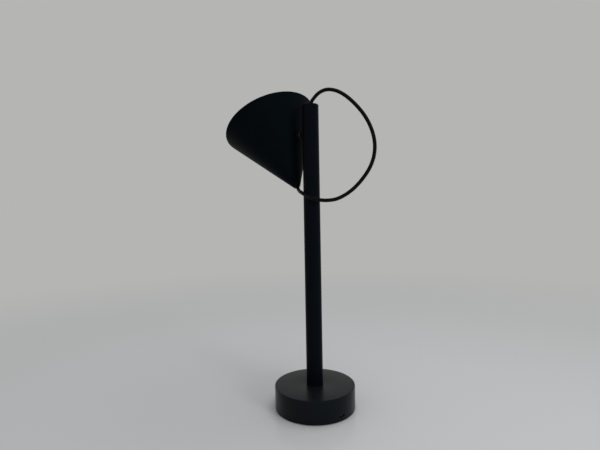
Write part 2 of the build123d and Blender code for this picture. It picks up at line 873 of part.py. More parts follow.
with BuildPart() as tip_nipple:
    with BuildSketch(cone_plane(tip_thread_start)):
        Circle(nipple_radius)
        Circle(tip_bore_radius, mode=Mode.SUBTRACT)
    extrude(amount=nipple_end - tip_thread_start)
finish(tip_nipple, "tip_nipple")

with BuildPart() as heat_sink:
    # radial fins, their outer ends inside the wall of the ring
    fin_inner = sink_hub_radius - fin_bite
    fin_outer = seat_radius(sink_front)
    with BuildSketch(cone_plane(sink_start + fin_recess)):
        with PolarLocations((fin_inner + fin_outer) / 2, fin_count):
            Rectangle(fin_outer - fin_inner, fin_thickness)
    extrude(amount=sink_plate_start + fin_bite - sink_start - fin_recess)
    with BuildSketch(cone_section):
        with BuildLine():
            Polyline(
                (0, sink_start),
                (seat_radius(sink_start) - sink_ring_wall + fin_bite, sink_start),
                (seat_radius(sink_front) - sink_ring_wall + fin_bite, sink_front),
                (0, sink_front),
                close=True,
            )
        make_face()
    revolve(axis=shade_axis, mode=Mode.INTERSECT)
    # front plate, ring and hub
    with BuildSketch(cone_section):
        with BuildLine():
            Polyline(
                (seat_radius(sink_start) - sink_ring_wall, sink_start),
                (seat_radius(sink_start), sink_start),
                (seat_radius(sink_front), sink_front),
                (sink_cavity_radius, sink_front),
                (sink_cavity_radius, nipple_end),
                (nipple_radius + thread_fit, nipple_end),
                (nipple_radius + thread_fit, sink_start),
                (sink_hub_radius, sink_start),
                (sink_hub_radius, sink_plate_start),
                (seat_radius(sink_plate_start) - sink_ring_wall, sink_plate_start),
                close=True,
            )
        make_face()
    revolve(axis=shade_axis)
    with Locations(cone_plane(sink_front)):
        with ring_screw_places():
            Hole(ring_screw_radius, depth=ring_screw_grip)
finish(heat_sink, "heat_sink")

with BuildPart() as led_board:
    with BuildSketch(cone_plane(sink_front)):
        Circle(led_board_radius)
    extrude(amount=led_board_thickness)
finish(led_board, "led_board")

with BuildPart() as light_emitter:
    with BuildSketch(cone_plane(sink_front + led_board_thickness)):
        Circle(emitter_radius)
    extrude(amount=emitter_thickness)
finish(light_emitter, "light_emitter")

with BuildPart() as light_dome:
    # a spherical cap on a short flange
    outer_angle = degrees(asin((dome_base - dome_middle) / dome_sphere))
    inner_angle = degrees(asin((dome_base - dome_middle) / (dome_sphere - dome_wall)))
    flange_radius = dome_radius + dome_flange_width
    with BuildSketch(cone_section):
        with BuildLine():
            outer_cap = CenterArc((0, dome_middle), dome_sphere, outer_angle, 90 - outer_angle)
            inner_cap = CenterArc((0, dome_middle), dome_sphere - dome_wall, 90, inner_angle - 90)
            Line(outer_cap @ 1, inner_cap @ 0)
            Polyline(
                inner_cap @ 1,
                ((inner_cap @ 1).X, sink_front),
                (flange_radius, sink_front),
                (flange_radius, dome_base),
                outer_cap @ 0,
            )
        make_face()
    revolve(axis=shade_axis)
finish(light_dome, "light_dome")

with BuildPart() as dome_ring:
    lip_radius = dome_radius + dome_flange_width - ring_lip
    pocket_radius = dome_radius + dome_flange_width + sink_clearance
    with BuildSketch(cone_section):
        with BuildLine():
            Polyline(
                (pocket_radius, sink_front),
                (ring_outer_radius, sink_front),
                (ring_outer_radius, ring_top - ring_chamfer),
                (ring_outer_radius - ring_chamfer, ring_top),
                (lip_radius + ring_chamfer, ring_top),
                (lip_radius, ring_top - ring_chamfer),
                (lip_radius, dome_base),
                (pocket_radius, dome_base),
                close=True,
            )
        make_face()
    revolve(axis=shade_axis)
    with Locations(cone_plane(ring_top)):
        with ring_screw_places():
            Hole(ring_screw_radius + ring_screw_clearance)
finish(dome_ring, "dome_ring")

with BuildPart() as ring_screws:
    with Locations(cone_plane(ring_top)):
        with ring_screw_places():
            add(
                button_screw(
                    ring_screw_radius,
                    ring_height + ring_screw_grip,
                    ring_screw_head,
                    ring_screw_head_height,
                )
            )
finish(ring_screws, "ring_screws")

with BuildPart() as cord_grip:
    with BuildSketch(cone_plane(grip_start)):
        Circle(grip_radius)
        Circle(cable_radius + grip_clearance, mode=Mode.SUBTRACT)
        with Locations((grip_radius, 0)):
            Rectangle(2 * (grip_radius - cable_radius / 2), grip_slot, mode=Mode.SUBTRACT)
    extrude(amount=grip_length)
finish(cord_grip, "cord_grip")

with BuildPart() as led_leads:
    with BuildSketch(cone_plane(cable_end_in_shade)):
        with GridLocations(2 * lead_spread, 0, 2, 1):
            Circle(lead_radius)
    extrude(amount=sink_front - cable_end_in_shade)
finish(led_leads, "led_leads")

# ---------------------------------------------------------------- cable


def corner_radii(points):
    """Largest radius at each corner of a route that leaves a little of every run straight."""
    ways = [Vector(after) - Vector(here) for here, after in zip(points, points[1:])]
    bent = [0.45 * way.length for way in ways]  # what each corner may take of a run
    bent[0] *= 2  # the first and the last run have only one corner
    bent[-1] *= 2
    radii = []
    for place in range(1, len(ways)):
        half_turn = radians(ways[place - 1].get_angle(ways[place])) / 2
        radii.append(min(bent[place - 1], bent[place]) / tan(half_turn))
    return radii


def carried_route():
    """The loop's route, its first points carried by the post's top and its last by the cone's tip."""
    top_shift = Vector(0, 0, post_top_height) - Vector(*route_post_top)
    tip_shift = cone_tip - Vector(*route_cone_tip)
    last = len(cable_route) - 1
    points = []
    for place, point in enumerate(cable_route):
        share = min(1, max(0, (place - 1) / (last - 4)))
        points.append(Vector(*point) + top_shift * (1 - share) + tip_shift * share)
    return points


with BuildPart() as cable_in_post:
    with BuildLine() as post_path:
        FilletPolyline(
            (0, board_front, cable_low_height),
            (0, 0, cable_low_height),
            (0, 0, cable_joint_height),
            radius=cable_bend_radius,
        )
    with BuildSketch(Plane(origin=post_path.line @ 0, z_dir=post_path.line % 0)):
        Circle(cable_radius)
    sweep()
finish(cable_in_post, "cable_in_post", slot_turn)

loop_route = carried_route()
loop_radii = corner_radii(loop_route)
with BuildPart() as cable_loop:
    with BuildLine() as loop_path:
        FilletPolyline(*loop_route, radius=loop_radii)
    with BuildSketch(Plane(origin=loop_path.line @ 0, z_dir=loop_path.line % 0)):
        Circle(cable_radius)
    sweep()
finish(cable_loop, "cable_loop")

with BuildPart() as cable_in_shade:
    with BuildSketch(cone_plane(cable_joint_in_tip)):
        Circle(cable_radius)
    extrude(amount=cable_end_in_shade - cable_joint_in_tip)
finish(cable_in_shade, "cable_in_shade")

loop_length = loop_path.wire().length
volume_ratio = cable_loop.part.volume / (pi * cable_radius**2 * loop_length)
print("cable loop length", round(loop_length, 1), "corner radii", [round(r, 1) for r in loop_radii])
print("cable loop volume over section times length", round(volume_ratio, 5))
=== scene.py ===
import json
import logging
import math
from dataclasses import dataclass
from enum import Enum
from typing import Callable, Sequence

import bmesh
import bpy
from mathutils import Matrix, Vector


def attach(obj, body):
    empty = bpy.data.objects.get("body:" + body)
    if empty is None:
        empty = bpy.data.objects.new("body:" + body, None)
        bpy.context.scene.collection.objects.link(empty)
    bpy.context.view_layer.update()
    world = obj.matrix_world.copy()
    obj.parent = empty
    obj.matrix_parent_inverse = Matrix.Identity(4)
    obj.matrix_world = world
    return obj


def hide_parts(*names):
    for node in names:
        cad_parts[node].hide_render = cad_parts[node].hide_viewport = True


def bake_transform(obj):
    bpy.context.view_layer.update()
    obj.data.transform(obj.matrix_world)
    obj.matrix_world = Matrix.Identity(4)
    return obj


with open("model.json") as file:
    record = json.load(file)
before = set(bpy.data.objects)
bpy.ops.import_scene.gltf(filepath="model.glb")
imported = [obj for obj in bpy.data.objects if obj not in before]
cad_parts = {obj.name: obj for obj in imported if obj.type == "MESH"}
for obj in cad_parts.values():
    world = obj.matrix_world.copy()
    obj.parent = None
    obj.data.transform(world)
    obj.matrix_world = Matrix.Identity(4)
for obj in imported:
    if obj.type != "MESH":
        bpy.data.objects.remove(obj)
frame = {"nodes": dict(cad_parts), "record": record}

# A table lamp with a cone shade on a side swivel. Metres; +Z is up, the shade hangs at -Y of the post
# and the base is turned a little, so that its charging slot faces near +Y.

Corner = tuple[float, float, float]  # radius, height, rounding
Profile = list[tuple[float, float]]
Place = tuple[float, float, float]
Axis = tuple[Place, Place]  # its start, and the angles that turn Z to it
Colour = tuple[float, float, float]
Piece = bpy.types.Object
Node = bpy.types.Node
NodeSocket = bpy.types.NodeSocket

log = logging.getLogger("lamp")

MM = 0.001
SAME_PLACE = 1e-6  # points nearer than this are one
CLEAR = 1 * MM  # how far a key's cutter stands out of the head
HEXAGON = 6


# ---------------- shared effects


# sockets of the effects by name; all others hold numbers
SOCKET_KINDS = {"Vector": "NodeSocketVector", "Colour": "NodeSocketColor"}


@dataclass(frozen=True)
class Effect:
    """A node group that several finishes share, made once by its own wiring."""

    name: str
    inputs: tuple[str, ...]
    outputs: tuple[str, ...]
    wiring: Callable[["Wires"], None]

    def group(self) -> bpy.types.NodeTree:
        """The group, made when it is first asked for."""
        made = bpy.data.node_groups.get(self.name)
        if made is None:
            made = bpy.data.node_groups.new(self.name, "ShaderNodeTree")
            for way, labels in (("INPUT", self.inputs), ("OUTPUT", self.outputs)):
                for label in labels:
                    kind = SOCKET_KINDS.get(label, "NodeSocketFloat")
                    made.interface.new_socket(label, in_out=way, socket_type=kind)
            self.wiring(Wires(made))
        return made


@dataclass
class Wires:
    """Short ways to add and join nodes in one tree."""

    tree: bpy.types.NodeTree

    def feed(self, target: NodeSocket, value: object) -> None:
        """Give an input its value.

        Args:
            target: the input.
            value: a socket to join to it, a colour, a vector or a number.
        """
        if isinstance(value, NodeSocket):
            self.tree.links.new(value, target)
        else:
            target.default_value = (*value, 1.0) if target.type == "RGBA" else value

    def set(self, node: Node, **values: object) -> Node:
        """Set a node up.

        Args:
            node: the node.
            values: its properties, or what feeds its inputs by their names with _ for spaces.

        Returns:
            The same node.
        """
        for key, value in values.items():
            if hasattr(node, key):
                setattr(node, key, value)
            else:
                self.feed(node.inputs[key.replace("_", " ")], value)
        return node

    def add(self, kind: str, **values: object) -> Node:
        """Add a node of Blender's name, with the values that set() takes."""
        return self.set(self.tree.nodes.new(kind), **values)

    def maths(self, operation: str, *values: object) -> NodeSocket:
        """Add a Math node.

        Args:
            operation: Blender's name of the operation.
            values: a socket or a number for each input that it needs.

        Returns:
            The result's socket.
        """
        node = self.add("ShaderNodeMath", operation=operation)
        for target, value in zip(node.inputs, values):
            self.feed(target, value)
        return node.outputs[0]

    def mix(self, share: object, first: object, second: object) -> NodeSocket:
        """Mix two colours.

        Args:
            share: a socket or a number, 0 for the first colour.
            first: a socket or a colour.
            second: a socket or a colour.

        Returns:
            The mixed colour's socket.
        """
        node = self.add("ShaderNodeMix", data_type="RGBA")
        for place, value in ((0, share), (6, first), (7, second)):
            self.feed(node.inputs[place], value)
        return node.outputs[2]

    def blend(self, share: NodeSocket, first: Node, second: Node) -> NodeSocket:
        """Mix two shaders.

        Args:
            share: how much of the second shader is taken.
            first: the first shader.
            second: the second shader.

        Returns:
            The mixed shader's socket.
        """
        node = self.add("ShaderNodeMixShader")
        for target, value in zip(node.inputs, (share, first.outputs[0], second.outputs[0])):
            self.feed(target, value)
        return node.outputs[0]

    def round_axis(self, vector: NodeSocket) -> tuple[NodeSocket, NodeSocket]:
        """Measure a place from the Z axis.

        Args:
            vector: the place.

        Returns:
            The sockets of its distance from the axis and its height along it.
        """
        parts = self.add("ShaderNodeSeparateXYZ", Vector=vector).outputs
        squares = [self.maths("MULTIPLY", part, part) for part in parts[:2]]
        return self.maths("SQRT", self.maths("ADD", *squares)), parts[2]

    def ends(self) -> tuple[bpy.types.NodeOutputs, Node]:
        """The sockets that the group is given, and its output node."""
        return self.add("NodeGroupInput").outputs, self.add("NodeGroupOutput")


def wire_grain(wires: Wires) -> None:
    """Two sizes of noise, for the skin of a coat, a casting or a moulding."""
    given, result = wires.ends()
    finer = wires.maths("MULTIPLY", given["Scale"], 3.1)
    layers = []
    for scale, detail, share in ((given["Scale"], 2.0, 0.7), (finer, 1.0, 0.3)):
        noise = wires.add("ShaderNodeTexNoise", Vector=given["Vector"], Scale=scale, Detail=detail)
        layers.append(wires.maths("MULTIPLY", noise.outputs[0], share))
    wires.set(result, Height=wires.maths("ADD", *layers))


def wire_lathe_marks(wires: Wires) -> None:
    """Fine rings round an axis along Z, for turned metal."""
    given, result = wires.ends()
    noise = wires.add("ShaderNodeTexNoise", Vector=given["Vector"], Scale=60.0, Detail=1.0)
    along = wires.maths("ADD", *wires.round_axis(given["Vector"]))
    waved = wires.maths("ADD", wires.maths("MULTIPLY", along, given["Scale"]), noise.outputs[0])
    wires.set(result, Height=wires.maths("SINE", waved))


def wire_brushing(wires: Wires) -> None:
    """Noise drawn out along X, for rolled and plated sheet."""
    given, result = wires.ends()
    spread = wires.add("ShaderNodeMapping", Vector=given["Vector"], Scale=(0.05, 1.0, 1.0))
    noise = wires.add("ShaderNodeTexNoise", Vector=spread.outputs[0], Scale=given["Scale"], Detail=3.0,
                      Roughness=0.6)
    wires.set(result, Height=noise.outputs[0])


def wire_drift(wires: Wires) -> None:
    """Slow change of a colour and of a roughness over a surface, as handling leaves it."""
    given, result = wires.ends()
    noise = wires.add("ShaderNodeTexNoise", Vector=given["Vector"], Scale=given["Scale"], Detail=3.0,
                      Roughness=0.55)
    swing = wires.maths("SUBTRACT", wires.maths("MULTIPLY", noise.outputs[0], 2.0), 1.0)
    strength = wires.maths("ADD", 1.0, wires.maths("MULTIPLY", swing, given["Amount"]))
    tone = wires.add("ShaderNodeVectorMath", operation="SCALE", Vector=given["Colour"], Scale=strength)
    wires.set(result, Colour=tone.outputs[0],
              Roughness=wires.maths("MULTIPLY", given["Roughness"], strength))


def wire_dust(wires: Wires) -> None:
    """A thin pale film of dust on what faces up."""
    given, result = wires.ends()
    normal = wires.add("ShaderNodeNewGeometry").outputs["Normal"]
    upwards = wires.add("ShaderNodeSeparateXYZ", Vector=normal).outputs[2]
    noise = wires.add("ShaderNodeTexNoise", Vector=given["Vector"], Scale=900.0, Detail=4.0, Roughness=0.7)
    specks = wires.maths("POWER", noise.outputs[0], 3.0)
    film = wires.maths("MULTIPLY", specks, wires.maths("MAXIMUM", upwards, 0.0))
    mask = wires.maths("MULTIPLY", film, given["Amount"])
    wires.set(result, Colour=wires.mix(mask, given["Colour"], DUST_COLOUR), Mask=mask)


DUST_COLOUR = (0.5, 0.49, 0.46)
DRIFT = Effect("surface_drift", ("Vector", "Scale", "Amount", "Colour", "Roughness"),
               ("Colour", "Roughness"), wire_drift)
DUST = Effect("dust_film", ("Vector", "Colour", "Amount"), ("Colour", "Mask"), wire_dust)


class Texture(Enum):
    """What a surface's small relief is like."""

    GRAIN = Effect("surface_grain", ("Vector", "Scale"), ("Height",), wire_grain)
    LATHE = Effect("lathe_marks", ("Vector", "Scale"), ("Height",), wire_lathe_marks)
    BRUSHED = Effect("sheet_brushing", ("Vector", "Scale"), ("Height",), wire_brushing)


# ---------------- finishes


@dataclass(frozen=True)
class Finish:
    """A material of one solid stuff, with its relief, its slow changes and its dust."""

    slot: str
    colour: Colour
    roughness: float
    metallic: float = 0.0
    specular: float = 0.5
    texture: Texture = Texture.GRAIN
    spacing: float = 0.5 * MM
    relief: float = 0.01 * MM
    drift: float = 0.06
    drift_size: float = 30 * MM
    dust: float = 0.0
    coat: float = 0.0
    coat_roughness: float = 0.25
    axis: Axis = ((0.0, 0.0, 0.0), (0.0, 0.0, 0.0))

    def material(self) -> bpy.types.Material:
        """The material, made when it is first asked for."""
        made = bpy.data.materials.get("finish_" + self.slot)
        if made is None:
            made = bpy.data.materials.new("finish_" + self.slot)
            made.use_nodes = True
            self.wire(Wires(made.node_tree), made.node_tree.nodes["Principled BSDF"])
        return made

    def pattern_vector(self, wires: Wires) -> NodeSocket:
        """Place on the surface that the pattern follows."""
        place = wires.add("ShaderNodeTexCoord").outputs["Object"]
        start, turn = self.axis
        return wires.add("ShaderNodeMapping", vector_type="TEXTURE", Vector=place, Location=start,
                         Rotation=turn).outputs[0]

    def base_colour(self, wires: Wires, vector: NodeSocket) -> object:
        """The colour before drift and dust, a colour or a socket."""
        return self.colour

    def wire(self, wires: Wires, shader: Node) -> None:
        """Wire the tree.

        Args:
            wires: the material's tree.
            shader: its Principled BSDF.
        """
        vector = self.pattern_vector(wires)
        drift = wires.add("ShaderNodeGroup", node_tree=DRIFT.group(), Vector=vector,
                          Scale=1 / self.drift_size, Amount=self.drift, Roughness=self.roughness,
                          Colour=self.base_colour(wires, vector)).outputs
        tone, rough = drift["Colour"], drift["Roughness"]
        if self.dust > 0:
            dust = wires.add("ShaderNodeGroup", node_tree=DUST.group(), Vector=vector, Colour=tone,
                             Amount=self.dust).outputs
            tone, rough = dust["Colour"], wires.maths("ADD", rough, dust["Mask"])
        skin = wires.add("ShaderNodeGroup", node_tree=self.texture.value.group(), Vector=vector,
                         Scale=1 / self.spacing)
        bump = wires.add("ShaderNodeBump", Strength=1.0, Distance=self.relief, Height=skin.outputs["Height"])
        wires.set(shader, Base_Color=tone, Roughness=rough, Metallic=self.metallic,
                  Specular_IOR_Level=self.specular, Coat_Weight=self.coat,
                  Coat_Roughness=self.coat_roughness, Normal=bump.outputs[0])


@dataclass(frozen=True)
class TurnedFinish(Finish):
    """Turned metal with the tool's fine marks."""

    texture: Texture = Texture.LATHE
    spacing: float = 0.05 * MM
    relief: float = 0.004 * MM


@dataclass(frozen=True)
class CableFinish(Finish):
    """Rubber whose skin follows the cable's own length."""

    def pattern_vector(self, wires: Wires) -> NodeSocket:
        """Place along and round the cable, in metres."""
        return wires.add("ShaderNodeUVMap", uv_map="along").outputs[0]


class Cells(Enum):
    """Where a second tone lies in cells: their measure, their randomness, a comparison and its limit."""

    EDGES = ("CHEBYCHEV", 1.0, "GREATER_THAN", 0.52)
    MIDDLES = ("EUCLIDEAN", 0.0, "LESS_THAN", 0.22)


@dataclass(frozen=True)
class CellFinish(Finish):
    """A second tone in cells: tracks under a board's mask, or light chips under phosphor."""

    cells: Cells = Cells.EDGES
    cell_colour: Colour = (0.05, 0.3, 0.14)
    cell_size: float = 2.2 * MM

    def base_colour(self, wires: Wires, vector: NodeSocket) -> object:
        """Both tones."""
        measure, randomness, side, limit = self.cells.value
        cells = wires.add("ShaderNodeTexVoronoi", feature="F1", distance=measure, Vector=vector,
                          Scale=1 / self.cell_size, Randomness=randomness)
        mask = wires.maths(side, cells.outputs["Distance"], limit)
        return wires.mix(mask, self.colour, self.cell_colour)


@dataclass(frozen=True)
class OpalFinish(Finish):
    """Opal plastic lit from behind, brightest over the light emitter."""

    glow: Colour = (1.0, 0.72, 0.42)
    glow_strength: float = 0.9
    glow_radius: float = 26 * MM
    edge_glow: float = 0.35  # share of the glow that is left at that radius

    def wire(self, wires: Wires, shader: Node) -> None:
        """Wire the plastic, then its glow.

        Args:
            wires: the material's tree.
            shader: its Principled BSDF.
        """
        Finish.wire(self, wires, shader)
        out, _ = wires.round_axis(self.pattern_vector(wires))
        share = wires.maths("MINIMUM", wires.maths("DIVIDE", out, self.glow_radius), 1.0)
        dim = tuple(self.edge_glow * part for part in self.glow)
        wires.set(shader, Emission_Color=wires.mix(wires.maths("POWER", share, 2.0), self.glow, dim),
                  Emission_Strength=self.glow_strength)


# the swivel's axis lies level, and the cone's leans by its half angle
PIVOT_HEIGHT = 416 * MM
PIVOT_AXIS: Axis = ((0.0, 0.0, PIVOT_HEIGHT), (math.radians(90), 0.0, 0.0))
CONE_TIP = (0.0, -26.5 * MM, 330 * MM)
CONE_HALF_ANGLE = math.radians(30)
CONE_AXIS: Axis = (CONE_TIP, (CONE_HALF_ANGLE, 0.0, 0.0))

FINISHES: dict[str, Finish] = {
    finish.slot: finish
    for finish in (
        Finish("black_coat", (0.0022, 0.0042, 0.0058), 0.29, specular=0.13, spacing=0.55 * MM,
               relief=0.035 * MM, drift=0.07, dust=0.05),
        Finish("black_tube_coat", (0.002, 0.0034, 0.006), 0.42, specular=0.04, relief=0.03 * MM, drift=0.07),
        Finish("shade_coat", (0.0016, 0.0036, 0.0048), 0.46, specular=0.03, relief=0.03 * MM, drift=0.08),
        TurnedFinish("black_anodised", (0.004, 0.005, 0.006), 0.4, specular=0.08, axis=PIVOT_AXIS),
        Finish("cast_iron", (0.09, 0.09, 0.095), 0.75, metallic=0.6, spacing=1.6 * MM, relief=0.25 * MM,
               drift=0.25),
        Finish("zinc_steel", (0.52, 0.53, 0.55), 0.33, metallic=1.0, texture=Texture.BRUSHED,
               spacing=0.4 * MM, relief=0.006 * MM, drift=0.12, drift_size=8 * MM),
        Finish("black_steel", (0.035, 0.035, 0.038), 0.38, metallic=0.8, spacing=0.3 * MM,
               relief=0.006 * MM, drift=0.12, drift_size=5 * MM),
        TurnedFinish("bare_aluminium", (0.66, 0.67, 0.69), 0.34, metallic=1.0, spacing=0.06 * MM,
                     axis=CONE_AXIS),
        TurnedFinish("nickel_brass", (0.62, 0.55, 0.38), 0.3, metallic=1.0, relief=0.003 * MM),
        Finish("foot_rubber", (0.02, 0.02, 0.02), 0.8, spacing=0.35 * MM, relief=0.05 * MM),
        CableFinish("cable_rubber", (0.0032, 0.0036, 0.004), 0.4, specular=0.075, spacing=0.8 * MM,
                    relief=0.012 * MM, drift=0.08, drift_size=12 * MM),
        Finish("friction_fibre", (0.07, 0.06, 0.05), 0.85, spacing=0.25 * MM, relief=0.03 * MM, drift=0.2,
               drift_size=3 * MM),
        Finish("black_plastic", (0.02, 0.02, 0.021), 0.5, spacing=0.3 * MM, relief=0.015 * MM),
        Finish("white_plastic", (0.78, 0.78, 0.75), 0.45, spacing=0.4 * MM, drift=0.03),
        Finish("cell_wrap", (0.05, 0.16, 0.36), 0.3, spacing=3 * MM, relief=0.03 * MM, coat=0.3),
        CellFinish("board_green", (0.015, 0.13, 0.05), 0.35),
        CellFinish("board_white", (0.82, 0.82, 0.79), 0.4, cell_colour=(0.72, 0.73, 0.71),
                   cell_size=4 * MM, axis=CONE_AXIS),
        CellFinish("emitter_yellow", (0.9, 0.68, 0.16), 0.4, spacing=0.3 * MM, cells=Cells.MIDDLES,
                   cell_colour=(0.75, 0.5, 0.1), cell_size=1.4 * MM, axis=CONE_AXIS),
        OpalFinish("opal_plastic", (0.62, 0.6, 0.56), 0.35, spacing=0.8 * MM, drift=0.02, axis=CONE_AXIS),
        Finish("terminal_green", (0.05, 0.28, 0.1), 0.35),
        Finish("red_plastic", (0.42, 0.02, 0.02), 0.4),
    )
}
SHADE_INSIDE = Finish("shade_inside_white", (0.78, 0.78, 0.76), 0.55, relief=0.02 * MM, drift=0.03)
CONE_ANODISED = TurnedFinish("cone_anodised", (0.003, 0.004, 0.005), 0.42, specular=0.05, axis=CONE_AXIS)
INNER_RUBBER = Finish("inner_cable_rubber", (0.0032, 0.0036, 0.004), 0.4, specular=0.075,
                      spacing=0.8 * MM, relief=0.012 * MM)


# ---------------- modelling moves


@dataclass(frozen=True)
class Lathe:
    """An axis that profiles are spun round."""

    origin: Vector
    axis: Vector
    across: Vector

    def place(self, radius: float, height: float) -> Vector:
        """Point of a profile in the frame."""
        return self.origin + self.axis * height + self.across * radius


UPRIGHT = Lathe(Vector((0, 0, 0)), Vector((0, 0, 1)), Vector((1, 0, 0)))


def clear_selection() -> None:
    """Leave edit mode and deselect every object."""
    if bpy.context.object is not None and bpy.context.object.mode != "OBJECT":
        bpy.ops.object.mode_set(mode="OBJECT")
    bpy.ops.object.select_all(action="DESELECT")


def take(piece: Piece) -> None:
    """Select one object alone and make it active."""
    clear_selection()
    piece.select_set(True)
    bpy.context.view_layer.objects.active = piece


def rounded(corners: Sequence[Corner], steps: int) -> Profile:
    """Round the corners of a closed profile.

    Args:
        corners: radius, height and rounding of each corner.
        steps: runs in each rounding.

    Returns:
        The profile's points.
    """
    points: Profile = []
    for place, (radius, height, rounding) in enumerate(corners):
        here = Vector((radius, height))
        if rounding <= 0:
            points.append((radius, height))
            continue
        before = Vector(corners[place - 1][:2]) - here
        after = Vector(corners[(place + 1) % len(corners)][:2]) - here
        half = before.angle(after) / 2
        middle = here + (before.normalized() + after.normalized()).normalized() * (rounding / math.sin(half))
        start = here + before.normalized() * (rounding / math.tan(half)) - middle
        end = here + after.normalized() * (rounding / math.tan(half)) - middle
        swing = math.atan2(start.x * end.y - start.y * end.x, start.dot(end))
        for step in range(steps + 1):
            turn = Matrix.Rotation(swing * step / steps, 2)
            points.append(tuple(middle + turn @ start))
    return points


def arc(centre: tuple[float, float], radius: float, start: float, end: float, steps: int) -> Profile:
    """Place points along an arc of a profile.

    Args:
        centre: radius and height of its middle.
        radius: the arc's own radius.
        start: angle of its first point, in radians.
        end: angle of its last point.
        steps: runs in it.

    Returns:
        The points.
    """
    angles = [start + (end - start) * step / steps for step in range(steps + 1)]
    return [(centre[0] + radius * math.cos(angle), centre[1] + radius * math.sin(angle)) for angle in angles]


def cap_sphere(radius: float, rise: float) -> float:
    """Radius of the sphere that a cap is cut from."""
    return (radius ** 2 + rise ** 2) / (2 * rise)


def settle(piece: Piece, smooth_angle: float = 35.0) -> Piece:
    """Put the object's origin at the frame's origin and smooth its faces.

    Args:
        piece: the piece, in object mode.
        smooth_angle: degrees between faces under which they shade as one.

    Returns:
        The same piece.
    """
    take(piece)
    bpy.ops.object.transform_apply(location=True, rotation=True, scale=True)
    bpy.ops.object.shade_smooth_by_angle(angle=math.radians(smooth_angle))
    return piece


def pick(piece: Piece, chosen: Callable[[bmesh.types.BMVert], bool]) -> None:
    """Select some points of a piece in edit mode, and no others.

    Args:
        piece: the piece.
        chosen: tells whether a point is selected.
    """
    mesh = bmesh.from_edit_mesh(piece.data)
    for vert in mesh.verts:
        vert.select_set(chosen(vert))
    mesh.select_flush_mode()
    bmesh.update_edit_mesh(piece.data)


def turned(name: str, points: Profile, lathe: Lathe = UPRIGHT, steps: int = 96,
           closed: bool = True) -> Piece:
    """Turn a profile into a piece.

    Args:
        name: the piece's name.
        points: the profile, as radius and height.
        lathe: the axis it is spun round.
        steps: faces round the axis.
        closed: whether the last point joins the first.

    Returns:
        The piece.
    """
    places = [lathe.place(*point) for point in points]
    clear_selection()
    bpy.ops.mesh.primitive_plane_add(size=MM, location=places[0])
    piece = bpy.context.object
    piece.name = piece.data.name = name
    bpy.ops.object.mode_set(mode="EDIT")
    bpy.ops.mesh.select_all(action="SELECT")
    bpy.ops.mesh.merge(type="CENTER")  # the profile's first point
    for here, there in zip(places, places[1:]):
        bpy.ops.mesh.extrude_vertices_move(TRANSFORM_OT_translate={"value": there - here})
    if closed:
        pick(piece, lambda vert: len(vert.link_edges) < 2)
        bpy.ops.mesh.edge_face_add()
    bpy.ops.mesh.select_all(action="SELECT")
    bpy.ops.mesh.spin(steps=steps, angle=2 * math.pi, center=lathe.origin, axis=lathe.axis)
    bpy.ops.mesh.select_all(action="SELECT")
    bpy.ops.mesh.remove_doubles(threshold=SAME_PLACE)
    bpy.ops.mesh.normals_make_consistent(inside=False)
    bpy.ops.object.mode_set(mode="OBJECT")
    return settle(piece)


def sleeve(name: str, radii: tuple[float, float], ends: tuple[float, float], roundings: Sequence[float],
           lathe: Lathe = UPRIGHT, steps: int = 72, runs: int = 3) -> Piece:
    """Turn a straight tube.

    Args:
        name: the piece's name.
        radii: its bore's radius and its own.
        ends: heights of its two ends.
        roundings: of its edges, from the bore's first one round by the outside.
        lathe: the axis it is spun round.
        steps: faces round the axis.
        runs: runs in each rounding.

    Returns:
        The tube.
    """
    (bore, outside), (low, high) = radii, ends
    edges = ((bore, low), (outside, low), (outside, high), (bore, high))
    corners = [(*edge, rounding) for edge, rounding in zip(edges, roundings)]
    return turned(name, rounded(corners, runs), lathe, steps)


def prism(name: str, sides: int, radius: float, low: Vector, high: Vector) -> Piece:
    """A straight bar between two points, for cutting.

    Args:
        name: its name.
        sides: corners of its section.
        radius: radius through its corners.
        low: middle of one end.
        high: middle of the other end.

    Returns:
        The bar.
    """
    clear_selection()
    way = high - low
    bpy.ops.mesh.primitive_cylinder_add(vertices=sides, radius=radius, depth=way.length)
    bar = bpy.context.object
    bar.name = bar.data.name = name
    bar.matrix_world = Matrix.LocRotScale((low + high) / 2, way.to_track_quat("Z", "Y"), None)
    return bar


def carve(piece: Piece, tool: Piece) -> None:
    """Cut a tool's shape out of a piece, and throw the tool away.

    Args:
        piece: what is kept.
        tool: what is cut out of it.
    """
    take(piece)
    cut = piece.modifiers.new("cut", "BOOLEAN")
    cut.operation = "DIFFERENCE"
    cut.object = tool
    cut.solver = "EXACT"
    bpy.ops.object.modifier_apply(modifier=cut.name)
    bpy.data.objects.remove(tool)


def soften(piece: Piece, width: float, angle: float = 40.0) -> None:
    """Bevel every sharp edge of a piece.

    Args:
        piece: the piece.
        width: width of the bevel.
        angle: degrees from which an edge counts as sharp.
    """
    take(piece)
    bevel = piece.modifiers.new("edges", "BEVEL")
    bevel.width = width
    bevel.segments = 2
    bevel.limit_method = "ANGLE"
    bevel.angle_limit = math.radians(angle)
    bpy.ops.object.modifier_apply(modifier=bevel.name)


def own_copy(piece: Piece, name: str, move: Matrix) -> Piece:
    """Copy a piece with its own mesh.

    Args:
        piece: what is copied.
        name: the copy's name.
        move: how the copy's mesh is moved.

    Returns:
        The copy.
    """
    copy = piece.copy()
    copy.data = piece.data.copy()
    copy.name = copy.data.name = name
    copy.data.transform(move)
    bpy.context.scene.collection.objects.link(copy)
    return copy


